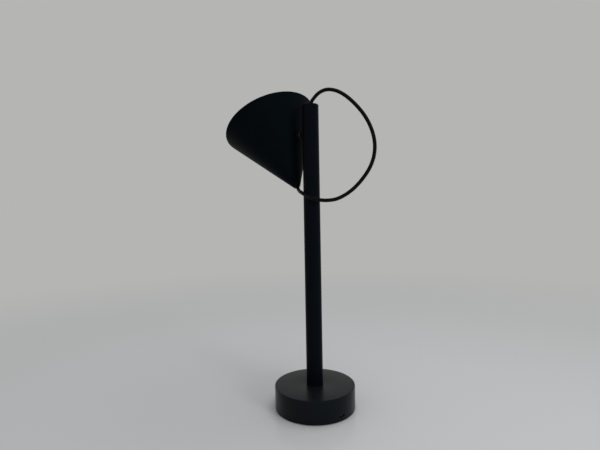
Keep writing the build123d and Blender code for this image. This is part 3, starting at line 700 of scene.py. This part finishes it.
def copies_round(piece: Piece, lathe: Lathe, count: int) -> list[Piece]:
    """Copy a piece round an axis, each copy with its own mesh.

    Args:
        piece: the first of them.
        lathe: the axis.
        count: how many there are in all.

    Returns:
        All of them, the first one too.
    """
    every = [piece]
    for place in range(1, count):
        turn = Matrix.Rotation(2 * math.pi * place / count, 4, lathe.axis)
        move = Matrix.Translation(lathe.origin) @ turn @ Matrix.Translation(-lathe.origin)
        every.append(own_copy(piece, f"{piece.name}_{place + 1}", move))
    return every


def fit(piece: Piece, body: str, slot: str, node: str, finish: Finish | None = None) -> None:
    """Dress a finished piece and fix it to its body.

    Args:
        piece: the piece.
        body: the body that it rides on.
        slot: the record's slot of its finish.
        node: the solids that it stands for.
        finish: another finish than the slot's own.
    """
    piece.data.materials.clear()
    piece.data.materials.append((finish or FINISHES[slot]).material())
    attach(piece, body)
    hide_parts(node)
    log.info("%s: %d faces, on %s", piece.name, len(piece.data.polygons), body)


# ---------------- sub-assemblies


@dataclass
class CableLoop:
    """The free loop of cable from the post's top, out behind it and back past it to the cone's tip."""

    diameter: float = 5.4 * MM
    length: float = 0.36
    route: tuple[Place, ...] = (
        (0, 0, 0.4535), (0, 0, 0.4605), (-0.0022, 0.0052, 0.4685), (-0.0055, 0.0145, 0.4765),
        (-0.01, 0.0285, 0.479), (-0.0165, 0.0475, 0.471), (-0.024, 0.068, 0.4505), (-0.0295, 0.084, 0.427),
        (-0.032, 0.093, 0.402), (-0.032, 0.094, 0.38), (-0.029, 0.0885, 0.36), (-0.023, 0.078, 0.3425),
        (-0.0146, 0.0655, 0.327), (-0.0034, 0.0505, 0.316), (0.006, 0.0392, 0.3136),
        (0.0139, 0.029, 0.3145), (0.0194, 0.0191, 0.3175), (0.0216, 0.0096, 0.3217),
        (0.0203, -0.0004, 0.3262), (0.0168, -0.0074, 0.3283), (0.0099, -0.0158, 0.3294),
        (0, -0.028, 0.3326), (0, -0.0315, 0.33866),
    )
    sides: int = 20
    spacing: float = 0.01 * MM  # least distance between points of the line
    blend_start: Place = (0.003, -0.013, 0.452)
    blend_end: Place = (0.0015, 0.0075, 0.344)

    def line(self) -> list[Vector]:
        """Points along the route's own smooth spline."""
        curve = bpy.data.curves.new("cable_line", "CURVE")
        curve.dimensions = "3D"
        curve.resolution_u = 12
        spline = curve.splines.new("NURBS")
        spline.points.add(len(self.route) - 1)
        for point, place in zip(spline.points, self.route):
            point.co = (*place, 1.0)
        spline.order_u = 3
        spline.use_endpoint_u = True
        holder = bpy.data.objects.new("cable_line", curve)
        bpy.context.scene.collection.objects.link(holder)
        bpy.context.view_layer.update()
        mesh = bpy.data.meshes.new_from_object(holder)
        points = [vert.co.copy() for vert in mesh.vertices]
        bpy.data.meshes.remove(mesh)
        bpy.data.objects.remove(holder)
        bpy.data.curves.remove(curve)
        kept = [points[0]]
        for point in points[1:]:
            if (point - kept[-1]).length > self.spacing:
                kept.append(point)
        return kept

    def tube(self, line: list[Vector]) -> Piece:
        """Carry a round section along the line without twist.

        Args:
            line: points along the cable's middle.

        Returns:
            The tube, with a map of metres along and round it.
        """
        made = bmesh.new()
        radius = self.diameter / 2
        across = Vector((1, 0, 0))
        angles = [2 * math.pi * side / self.sides for side in range(self.sides)]
        rings, lengths = [], [0.0]
        for place, point in enumerate(line):
            way = (line[min(place + 1, len(line) - 1)] - line[max(place - 1, 0)]).normalized()
            across = (across - way * across.dot(way)).normalized()
            other = way.cross(across)
            ring = [across * math.cos(angle) + other * math.sin(angle) for angle in angles]
            rings.append([made.verts.new(point + out * radius) for out in ring])
            if place:
                lengths.append(lengths[-1] + (point - line[place - 1]).length)
        chart = made.loops.layers.uv.new("along")
        for place in range(len(rings) - 1):
            for side in range(self.sides):
                marks = ((place, side), (place, side + 1), (place + 1, side + 1), (place + 1, side))
                face = made.faces.new([rings[step][turn % self.sides] for step, turn in marks])
                for loop, (step, turn) in zip(face.loops, marks):
                    loop[chart].uv = (lengths[step], 2 * math.pi * radius * turn / self.sides)
        made.faces.new(reversed(rings[0]))
        made.faces.new(rings[-1])
        mesh = bpy.data.meshes.new("loop_cable")
        made.to_mesh(mesh)
        made.free()
        piece = bpy.data.objects.new("loop_cable", mesh)
        bpy.context.scene.collection.objects.link(piece)
        return settle(piece, smooth_angle=60.0)

    def build(self) -> None:
        """Make the loop and dress it."""
        line = self.line()
        piece = self.tube(line)
        piece.data.materials.append(FINISHES["cable_rubber"].material())
        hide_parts("cable_loop")
        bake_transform(piece)
        log.info("loop_cable: %d points along it", len(line))


@dataclass
class Base:
    """The round base: its coated shell with the slot in it, and the bosses for the cover's screws."""

    radius: float = 61 * MM
    height: float = 35 * MM
    lift: float = 1 * MM
    wall: float = 3 * MM
    top: float = 4 * MM
    edge_radius: float = 1.2 * MM
    foot_chamfer: float = 0.4 * MM
    seat_radius: float = 12.6 * MM
    seat_floor: float = 34 * MM
    stud_hole: float = 7.2 * MM
    boss_circle: float = 50.5 * MM
    boss_radius: float = 4.2 * MM
    boss_hole: float = 1.5 * MM
    boss_low: float = 4 * MM
    boss_sunk: float = 1 * MM
    slot_turn: float = math.radians(-8)
    slot_width: float = 9.54 * MM
    slot_height: float = 3.86 * MM
    slot_lift: float = 8.2 * MM
    slot_cut: float = 12 * MM

    def shell(self) -> Piece:
        """The shell, with rounded edges and the slot for the socket."""
        cavity, roof = self.radius - self.wall, self.height - self.top
        corners = [
            (self.stud_hole, roof, 0.0), (cavity, roof, 1.0 * MM), (cavity, self.lift, 0.15 * MM),
            (self.radius, self.lift, self.foot_chamfer), (self.radius, self.height, self.edge_radius),
            (self.seat_radius, self.height, 0.12 * MM), (self.seat_radius, self.seat_floor, 0.0),
            (self.stud_hole, self.seat_floor, 0.0),
        ]
        piece = turned("base_body", rounded(corners, 6), steps=192)
        carve(piece, self.slot_tool())
        piece.data.transform(Matrix.Rotation(self.slot_turn, 4, "Z"))
        return settle(piece)

    def slot_tool(self) -> Piece:
        """A flat bar with round sides, as large as the slot."""
        middle, reach = Vector((0, self.radius, self.slot_lift)), Vector((0, self.slot_cut / 2, 0))
        bar = prism("slot_cutter", 48, self.slot_height / 2, middle - reach, middle + reach)
        bpy.ops.object.transform_apply(location=True, rotation=True, scale=True)
        bpy.ops.object.mode_set(mode="EDIT")
        for side in (-1, 1):
            pick(bar, lambda vert: side * vert.co.x > SAME_PLACE)
            bpy.ops.transform.translate(value=(side * (self.slot_width - self.slot_height) / 2, 0, 0))
        bpy.ops.object.mode_set(mode="OBJECT")
        return bar

    def boss(self) -> Piece:
        """One boss for a cover screw."""
        place = Matrix.Rotation(self.slot_turn, 3, "Z") @ Vector((0, -self.boss_circle, 0))
        return sleeve("screw_boss", (self.boss_hole, self.boss_radius),
                      (self.boss_low, self.height - self.top + self.boss_sunk), (0.0, 0.2 * MM, 0.0, 0.0),
                      Lathe(place, UPRIGHT.axis, UPRIGHT.across), steps=32, runs=2)

    def build(self) -> None:
        """Make the base's pieces and dress them."""
        for piece in (self.shell(), *copies_round(self.boss(), UPRIGHT, 3)):
            fit(piece, "stand", "black_coat", "base_shell")


@dataclass
class Post:
    """The straight post, a tube with a rounded rim, and the plug that the cable comes out of."""

    radius: float = 12.5 * MM
    wall: float = 1.5 * MM
    low: float = 34 * MM
    high: float = 459 * MM
    rim_rounding: float = 1 * MM
    cap_radius: float = 10.97 * MM
    cap_top: float = 458.3 * MM
    cap_length: float = 5.3 * MM
    hole_radius: float = 3.1 * MM
    hole_flare: float = 1 * MM

    def build(self) -> None:
        """Make the post's pieces and dress them."""
        tube = sleeve("post_body", (self.radius - self.wall, self.radius), (self.low, self.high),
                      (0.0, 0.1 * MM, self.rim_rounding, 0.15 * MM), steps=128, runs=6)
        fit(tube, "stand", "black_tube_coat", "post_tube")
        plug = sleeve("post_plug", (self.hole_radius, self.cap_radius),
                      (self.cap_top - self.cap_length, self.cap_top),
                      (0.0, 0.2 * MM, 0.3 * MM, self.hole_flare), runs=6)
        fit(plug, "stand", "black_plastic", "post_cap")


@dataclass
class Swivel:
    """The short pivot between the post and the cone's wall, with the parts inside the cone that hold it."""

    height: float = PIVOT_HEIGHT
    radius: float = 6 * MM
    post_radius: float = 12.5 * MM
    cut_reach: float = 20 * MM
    collar_sunk: float = 2.2 * MM
    collar_end: float = 18.5 * MM
    washer_end: float = 19.5 * MM
    washer_radius: float = 5.7 * MM
    boss_end: float = 26.5 * MM
    boss_sunk: float = 0.7 * MM
    bore: float = 3.1 * MM
    chamfer: float = 0.4 * MM
    clamp_radius: float = 7 * MM
    clamp_start: float = 27.6 * MM
    clamp_end: float = 31 * MM
    spring_radius: float = 5.6 * MM
    spring_sheet: float = 0.5 * MM
    spring_end: float = 32.5 * MM
    head_radius: float = 6 * MM
    head_end: float = 36 * MM
    head_chamfer: float = 0.7 * MM
    key_radius: float = 2.887 * MM
    key_depth: float = 2.2 * MM
    bolt_radius: float = 3 * MM
    bolt_start: float = 5.1 * MM

    @property
    def lathe(self) -> Lathe:
        """The pivot's axis, from the post's axis outwards."""
        return Lathe(Vector((0, 0, self.height)), Vector((0, -1, 0)), Vector((1, 0, 0)))

    @property
    def spring_middle(self) -> float:
        """Where the two dished washers meet."""
        return (self.clamp_end + self.spring_end) / 2

    def ring(self, name: str, radius: float, ends: tuple[float, float], roundings: Sequence[float]) -> Piece:
        """Turn one of the rings that the bolt passes through, as sleeve() does."""
        return sleeve(name, (self.bore, radius), ends, roundings, self.lathe)

    def collar(self) -> Piece:
        """The fixed collar, its end cut to the post's side."""
        ends = (self.post_radius - self.collar_sunk, self.collar_end)
        piece = self.ring("swivel_collar", self.radius, ends, (0.0, 0.0, self.chamfer, 0.1 * MM))
        start, reach = self.lathe.origin, Vector((0, 0, self.cut_reach))
        carve(piece, prism("post_cutter", 128, self.post_radius, start - reach, start + reach))
        return settle(piece)

    def spring(self) -> Piece:
        """One dished washer of the pair."""
        points = [
            (self.spring_radius, self.clamp_end),
            (self.spring_radius, self.clamp_end + self.spring_sheet),
            (self.bore, self.spring_middle),
            (self.bore, self.spring_middle - self.spring_sheet),
        ]
        piece = turned("disc_spring", points, self.lathe, steps=64)
        soften(piece, width=0.08 * MM)
        return settle(piece)

    def spring_pair(self) -> list[Piece]:
        """Both dished washers, back to back."""
        first = self.spring()
        middle = Matrix.Translation(self.lathe.place(0, self.spring_middle))
        flip = middle @ Matrix.Rotation(math.pi, 4, "X") @ middle.inverted()
        return [first, own_copy(first, "disc_spring_2", flip)]

    def bolt(self) -> Piece:
        """The pivot bolt with its hexagon socket."""
        corners = [
            (0.0, self.bolt_start, 0.0), (self.bolt_radius, self.bolt_start, 0.4 * MM),
            (self.bolt_radius, self.spring_end, 0.0), (self.head_radius, self.spring_end, 0.2 * MM),
            (self.head_radius, self.head_end, self.head_chamfer), (0.0, self.head_end, 0.0),
        ]
        piece = turned("swivel_bolt", rounded(corners, 4), self.lathe, steps=72, closed=False)
        outer = self.lathe.place(0, self.head_end + CLEAR)
        inner = self.lathe.place(0, self.head_end - self.key_depth)
        carve(piece, prism("key_cutter", HEXAGON, self.key_radius, inner, outer))
        soften(piece, width=0.1 * MM, angle=50.0)
        return settle(piece)

    def build(self) -> None:
        """Make the swivel's pieces and dress them, from the post outwards."""
        fit(self.collar(), "stand", "black_anodised", "pivot_collar")
        washer = self.ring("swivel_washer", self.washer_radius, (self.collar_end, self.washer_end),
                           (0.05 * MM, 0.12 * MM, 0.12 * MM, 0.05 * MM))
        fit(washer, "stand", "friction_fibre", "friction_washer")
        boss = self.ring("swivel_boss", self.radius, (self.washer_end, self.boss_end + self.boss_sunk),
                         (0.1 * MM, self.chamfer, 0.0, 0.0))
        fit(boss, "shade", "black_anodised", "shade_boss")
        clamp = self.ring("swivel_clamp", self.clamp_radius, (self.clamp_start, self.clamp_end),
                          (0.0, 0.0, 0.35 * MM, 0.1 * MM))
        fit(clamp, "shade", "bare_aluminium", "shade_clamp")
        for spring in self.spring_pair():
            fit(spring, "stand", "zinc_steel", "disc_springs")
        fit(self.bolt(), "stand", "black_steel", "pivot_bolt")


@dataclass
class Shade:
    """The cone with its rolled rim, the bush in its tip and the lamp inside it."""

    tip: Vector
    half_angle: float = CONE_HALF_ANGLE
    slant: float = 153.5 * MM
    wall: float = 1.2 * MM
    rim_radius: float = 1.1 * MM
    sheet_start: float = 11 * MM
    tip_radius: float = 5 * MM
    bush_bore: float = 2.95 * MM
    bush_flare: float = 0.3 * MM
    bush_end: float = 18 * MM
    spigot_play: float = 0.1 * MM
    dome_base: float = 55.6 * MM
    dome_radius: float = 24 * MM
    dome_rise: float = 15.4 * MM
    dome_wall: float = 1.6 * MM
    flange_radius: float = 24.8 * MM
    flange_play: float = 0.02 * MM
    insert_front: float = 54 * MM
    ring_outer: float = 29.3 * MM
    ring_inner: float = 24.2 * MM
    ring_pocket: float = 24.9 * MM
    ring_height: float = 3.4 * MM
    screw_circle: float = 27.1 * MM
    screw_radius: float = 1 * MM
    screw_head: float = 1.6 * MM
    screw_head_height: float = 1 * MM
    screw_grip: float = 2 * MM
    key_radius: float = 0.75 * MM
    key_floor: float = 0.3 * MM
    arc_steps: int = 24
    paint_end: float = 131 * MM
    paint_depth: float = 0.8  # an inner face lies deeper than this share of the wall
    facing_in: float = -0.3  # and its normal has less than this of the way outwards

    @property
    def lathe(self) -> Lathe:
        """The cone's axis, from its tip to its mouth."""
        lean = self.half_angle
        return Lathe(self.tip, Vector((0, -math.sin(lean), math.cos(lean))),
                     Vector((0, math.cos(lean), math.sin(lean))))

    def outer(self, along: float) -> float:
        """Radius of the outer face at a distance along the axis."""
        return along * math.tan(self.half_angle)

    def inner(self, along: float) -> float:
        """Radius of the inner face at a distance along the axis."""
        return (along - self.wall / math.sin(self.half_angle)) * math.tan(self.half_angle)

    def cone(self) -> Piece:
        """The cone's sheet, its edge rolled inwards to a bead."""
        wall_along = Vector((math.sin(self.half_angle), math.cos(self.half_angle)))
        wall_out = Vector((math.cos(self.half_angle), -math.sin(self.half_angle)))
        middle = wall_along * (self.slant - self.rim_radius) - wall_out * self.rim_radius
        turn = math.pi + math.acos((self.wall - self.rim_radius) / self.rim_radius)
        points: Profile = [
            (self.inner(self.sheet_start), self.sheet_start),
            (self.outer(self.sheet_start), self.sheet_start),
            *arc(middle, self.rim_radius, -self.half_angle, turn - self.half_angle, self.arc_steps),
        ]
        return turned("shade_sheet", points, self.lathe, steps=192)

    def paint_inside(self, piece: Piece) -> None:
        """Give the inner faces their white coat.

        Args:
            piece: the cone's sheet.
        """
        piece.data.materials.append(SHADE_INSIDE.material())
        start, axis = self.lathe.origin, self.lathe.axis
        for face in piece.data.polygons:
            along = (face.center - start).dot(axis)
            out = face.center - start - axis * along
            facing_in = face.normal.dot(out.normalized()) < self.facing_in
            on_sheet = out.length < self.outer(along) - self.wall * self.paint_depth
            face.material_index = 1 if facing_in and on_sheet and along < self.paint_end else 0

    def bush(self) -> Piece:
        """The turned bush that the cable goes into."""
        tip_end = self.tip_radius / math.tan(self.half_angle)
        spigot = self.inner(self.sheet_start) - self.spigot_play
        corners = [
            (self.bush_bore, tip_end, self.bush_flare), (self.tip_radius, tip_end, 0.3 * MM),
            (self.outer(self.sheet_start), self.sheet_start, 0.0), (spigot, self.sheet_start, 0.0),
            (spigot, self.bush_end, 0.3 * MM), (self.bush_bore, self.bush_end, 0.0),
        ]
        return turned("tip_ferrule", rounded(corners, 4), self.lathe, steps=96)

    def dome(self) -> Piece:
        """The opal dome, a thin shell on a flange."""
        sphere = cap_sphere(self.dome_radius, self.dome_rise)
        thin = sphere - self.dome_wall
        centre = self.dome_base + self.dome_rise - sphere
        outer_end, inner_end = (math.asin((self.dome_base - centre) / radius) for radius in (sphere, thin))
        low = self.insert_front + self.flange_play
        points: Profile = [
            *arc((0.0, centre), sphere, math.pi / 2, outer_end, self.arc_steps),
            (self.flange_radius, self.dome_base), (self.flange_radius, low),
            (thin * math.cos(inner_end), low),
            *arc((0.0, centre), thin, inner_end, math.pi / 2, self.arc_steps),
        ]
        return turned("light_cover", points, self.lathe, steps=96, closed=False)

    def ring(self) -> Piece:
        """The ring that holds the dome."""
        low, high = self.insert_front, self.insert_front + self.ring_height
        corners = [
            (self.ring_pocket, low, 0.0), (self.ring_outer, low, 0.1 * MM),
            (self.ring_outer, high, 0.4 * MM), (self.ring_inner, high, 0.4 * MM),
            (self.ring_inner, self.dome_base, 0.1 * MM), (self.ring_pocket, self.dome_base, 0.0),
        ]
        return turned("cover_ring", rounded(corners, 3), self.lathe, steps=128)

    def ring_screw(self) -> Piece:
        """One of the ring's small screws, with a hexagon socket."""
        seat = self.insert_front + self.ring_height
        low = seat - self.ring_height - self.screw_grip
        crown = cap_sphere(self.screw_head, self.screw_head_height)
        drop = crown - self.screw_head_height
        points: Profile = [
            *arc((0.0, seat - drop), crown, math.pi / 2, math.asin(drop / crown), steps=8),
            (self.screw_radius, seat), (self.screw_radius, low), (0.0, low),
        ]
        axis = self.lathe
        side = Lathe(axis.place(self.screw_circle, 0), axis.axis, axis.across)
        piece = turned("ring_screw", points, side, steps=32, closed=False)
        carve(piece, prism("key_cutter", HEXAGON, self.key_radius, side.place(0, seat + self.key_floor),
                           side.place(0, seat + self.screw_head_height + CLEAR)))
        return settle(piece)

    def build(self) -> None:
        """Make the shade's pieces and dress them."""
        cone = self.cone()
        fit(cone, "shade", "shade_coat", "shade_cone")
        self.paint_inside(cone)
        fit(self.bush(), "shade", "black_anodised", "tip_bush", CONE_ANODISED)
        fit(self.dome(), "shade", "opal_plastic", "light_dome")
        fit(self.ring(), "shade", "bare_aluminium", "dome_ring")
        for screw in copies_round(self.ring_screw(), self.lathe, 3):
            fit(screw, "shade", "zinc_steel", "ring_screws")


@dataclass
class InnerParts:
    """The solids that stay as they are and only get their finishes."""

    inner_cables: tuple[str, ...] = ("cable_in_post", "cable_in_shade")

    def build(self) -> None:
        """Give each solid the finish of its slot."""
        for part in frame["record"]["subparts"]:
            name, slot = part["node"], part["material_slot"]
            finish = INNER_RUBBER if name in self.inner_cables else FINISHES[slot]
            for holder in frame["nodes"][name].material_slots:
                holder.material = finish.material()
            log.info("%s: %s", name, slot)


# ---------------- studio


@dataclass
class Studio:
    """Camera, plain pale floor and plain soft light."""

    camera_place: Place = (0.4508, 0.4297, 0.29467)
    heading: float = 135.3317
    tilt: float = -1.5059
    roll: float = -1.0231
    lens: float = 24.6
    backdrop: Colour = (0.462, 0.466, 0.456)
    light: Colour = (0.36, 0.37, 0.39)
    floor_colour: Colour = (0.575, 0.585, 0.58)
    floor_radius: float = 6.0
    fade_start: float = 0.25
    fade_end: float = 1.6
    aim: Place = (0.0, 0.0, 0.22)

    def camera(self) -> None:
        """The camera."""
        clear_selection()
        bpy.ops.object.camera_add()
        piece = bpy.context.object
        piece.name = "view"
        piece.data.lens = self.lens
        piece.data.sensor_width = 36.0
        piece.data.clip_start, piece.data.clip_end = 0.01, 50.0
        piece.matrix_world = (
            Matrix.Translation(self.camera_place)
            @ Matrix.Rotation(math.radians(self.heading), 4, "Z")
            @ Matrix.Rotation(math.radians(90 + self.tilt), 4, "X")
            @ Matrix.Rotation(math.radians(self.roll), 4, "Z")
        )
        bpy.context.scene.camera = piece

    def floor(self) -> None:
        """A wide pale floor that fades into the backdrop."""
        clear_selection()
        bpy.ops.mesh.primitive_circle_add(vertices=96, radius=self.floor_radius, fill_type="NGON",
                                          location=(0, 0, 0))
        piece = bpy.context.object
        piece.name = piece.data.name = "floor"
        material = bpy.data.materials.new("pale_floor")
        material.use_nodes = True
        nodes, wires = material.node_tree.nodes, Wires(material.node_tree)
        shader = wires.set(nodes["Principled BSDF"], Base_Color=self.floor_colour, Roughness=0.2,
                           Specular_IOR_Level=0.25)
        place = wires.add("ShaderNodeTexCoord").outputs["Object"]
        length = wires.add("ShaderNodeVectorMath", operation="LENGTH", Vector=place).outputs["Value"]
        fade = wires.add("ShaderNodeMapRange", interpolation_type="SMOOTHSTEP", Value=length,
                         From_Min=self.fade_start, From_Max=self.fade_end)
        path = wires.add("ShaderNodeLightPath")
        share = wires.maths("MULTIPLY", fade.outputs[0], path.outputs["Is Camera Ray"])
        glow = wires.add("ShaderNodeEmission", Color=self.backdrop)
        wires.set(nodes["Material Output"], Surface=wires.blend(share, shader, glow))
        piece.data.materials.append(material)

    def world(self) -> None:
        """Even light from all round, seen as the pale backdrop."""
        world = bpy.data.worlds.new("studio")
        world.use_nodes = True
        bpy.context.scene.world = world
        nodes, wires = world.node_tree.nodes, Wires(world.node_tree)
        plain = wires.set(nodes["Background"], Color=self.light, Strength=1.0)
        backdrop = wires.add("ShaderNodeBackground", Color=self.backdrop)
        path = wires.add("ShaderNodeLightPath").outputs
        bent = wires.maths("MAXIMUM", path["Is Glossy Ray"], path["Is Transmission Ray"])
        seen = wires.maths("MAXIMUM", path["Is Camera Ray"], bent)
        wires.set(nodes["World Output"], Surface=wires.blend(seen, plain, backdrop))

    def lamp(self, name: str, place: Place, size: float, power: float) -> None:
        """A round soft light that points at the lamp's middle and isn't mirrored in the floor.

        Args:
            name: its name.
            place: where it hangs.
            size: its width.
            power: its watts.
        """
        clear_selection()
        bpy.ops.object.light_add(type="AREA", location=place)
        piece = bpy.context.object
        piece.name = piece.data.name = name
        piece.data.shape = "DISK"
        piece.data.size = size
        piece.data.energy = power
        piece.rotation_mode = "QUATERNION"
        piece.rotation_quaternion = (Vector(self.aim) - Vector(place)).to_track_quat("-Z", "Y")
        piece.visible_camera = piece.visible_glossy = False

    def build(self) -> None:
        """Floor, world and lights."""
        bpy.context.scene.view_settings.view_transform = "Standard"
        self.floor()
        self.world()
        self.lamp("top_light", place=(-0.2, 0.1, 1.7), size=1.4, power=13.0)
        self.lamp("side_light", place=(0.1, 1.5, 0.5), size=0.5, power=8.0)


def main() -> None:
    """Build the lamp's sub-assemblies in order."""
    logging.basicConfig(level=logging.INFO, format="%(name)s %(message)s")
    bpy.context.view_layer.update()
    studio = Studio()
    studio.camera()
    CableLoop().build()
    InnerParts().build()
    Base().build()
    Post().build()
    Swivel().build()
    Shade(tip=Vector(CONE_TIP)).build()
    studio.build()
    clear_selection()
    bpy.context.view_layer.update()


if __name__ == "__main__":
    main()
